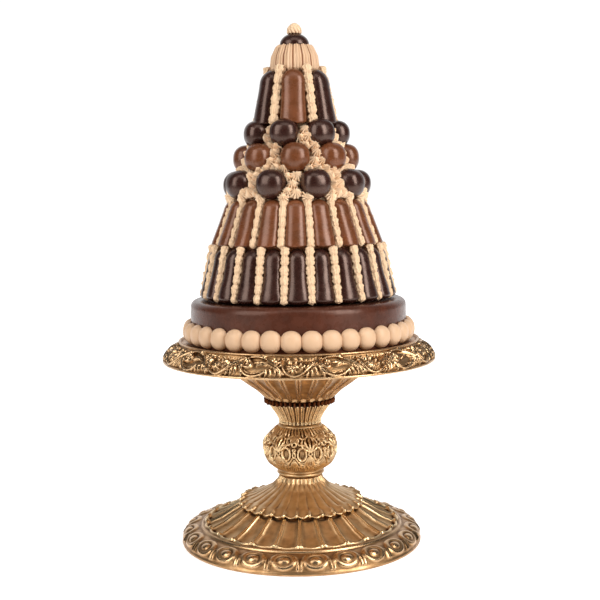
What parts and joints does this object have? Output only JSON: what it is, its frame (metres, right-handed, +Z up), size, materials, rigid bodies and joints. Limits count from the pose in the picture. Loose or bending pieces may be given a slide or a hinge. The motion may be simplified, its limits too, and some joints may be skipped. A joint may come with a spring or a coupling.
{
  "type": "croquembouche on footed stand",
  "caption": "Display croquembouche: a tall cone of glazed choux, finger choux and eclairs with piped cream, on a chocolate drum and an ornate gilt footed cake stand.",
  "frame": {"origin": "middle of the foot's flat underside, on the floor", "axes": "+Z up along the stand's and the cone's common axis; -Y is the front"},
  "size_m": [0.2718, 0.272, 0.5122],
  "materials": {
    "antique_gilt": "antique gilt, burnished on the high points and brown in the hollows",
    "aged_gilt": "dark, nearly black-brown patina",
    "drum_chocolate": "satin chocolate glaze",
    "dark_chocolate": "satin dark chocolate glaze",
    "milk_chocolate": "satin milk chocolate glaze",
    "cream": "piped cream, matt"
  },
  "bodies": {
    "root": {"stand_foot": "antique_gilt", "stand_skirt": "antique_gilt", "stand_knob": "antique_gilt", "stand_cup": "antique_gilt", "stand_leaf_ring": "aged_gilt", "stand_plate": "antique_gilt", "cake_drum": "drum_chocolate", "pearl_ring": "cream", "dark_finger_ring": "dark_chocolate", "milk_finger_01": "milk_chocolate", "milk_finger_02": "milk_chocolate", "milk_finger_03": "milk_chocolate", "milk_finger_04": "milk_chocolate", "milk_finger_05": "milk_chocolate", "milk_finger_06": "milk_chocolate", "milk_finger_07": "milk_chocolate", "milk_finger_08": "milk_chocolate", "milk_finger_09": "milk_chocolate", "milk_finger_10": "milk_chocolate", "milk_finger_11": "milk_chocolate", "milk_finger_12": "milk_chocolate", "milk_finger_13": "milk_chocolate", "milk_finger_14": "milk_chocolate", "milk_finger_15": "milk_chocolate", "milk_finger_16": "milk_chocolate", "milk_finger_17": "milk_chocolate", "milk_finger_18": "milk_chocolate", "choux_lower_1": "dark_chocolate", "choux_lower_2": "dark_chocolate", "choux_lower_3": "dark_chocolate", "choux_lower_4": "dark_chocolate", "choux_lower_5": "dark_chocolate", "choux_lower_6": "dark_chocolate", "choux_lower_7": "dark_chocolate", "choux_lower_8": "dark_chocolate", "choux_lower_9": "dark_chocolate", "choux_middle_1": "milk_chocolate", "choux_middle_2": "milk_chocolate", "choux_middle_3": "milk_chocolate", "choux_middle_4": "milk_chocolate", "choux_middle_5": "milk_chocolate", "choux_middle_6": "milk_chocolate", "choux_middle_7": "milk_chocolate", "choux_middle_8": "milk_chocolate", "choux_upper_1": "dark_chocolate", "choux_upper_2": "dark_chocolate", "choux_upper_3": "dark_chocolate", "choux_upper_4": "dark_chocolate", "choux_upper_5": "dark_chocolate", "choux_upper_6": "dark_chocolate", "choux_upper_7": "dark_chocolate", "eclair_milk_1": "milk_chocolate", "eclair_dark_2": "dark_chocolate", "eclair_milk_3": "milk_chocolate", "eclair_dark_4": "dark_chocolate", "eclair_milk_5": "milk_chocolate", "eclair_dark_6": "dark_chocolate", "cream_core": "cream", "top_choux": "dark_chocolate", "cream_finial": "cream"}
  },
  "joints": []
}
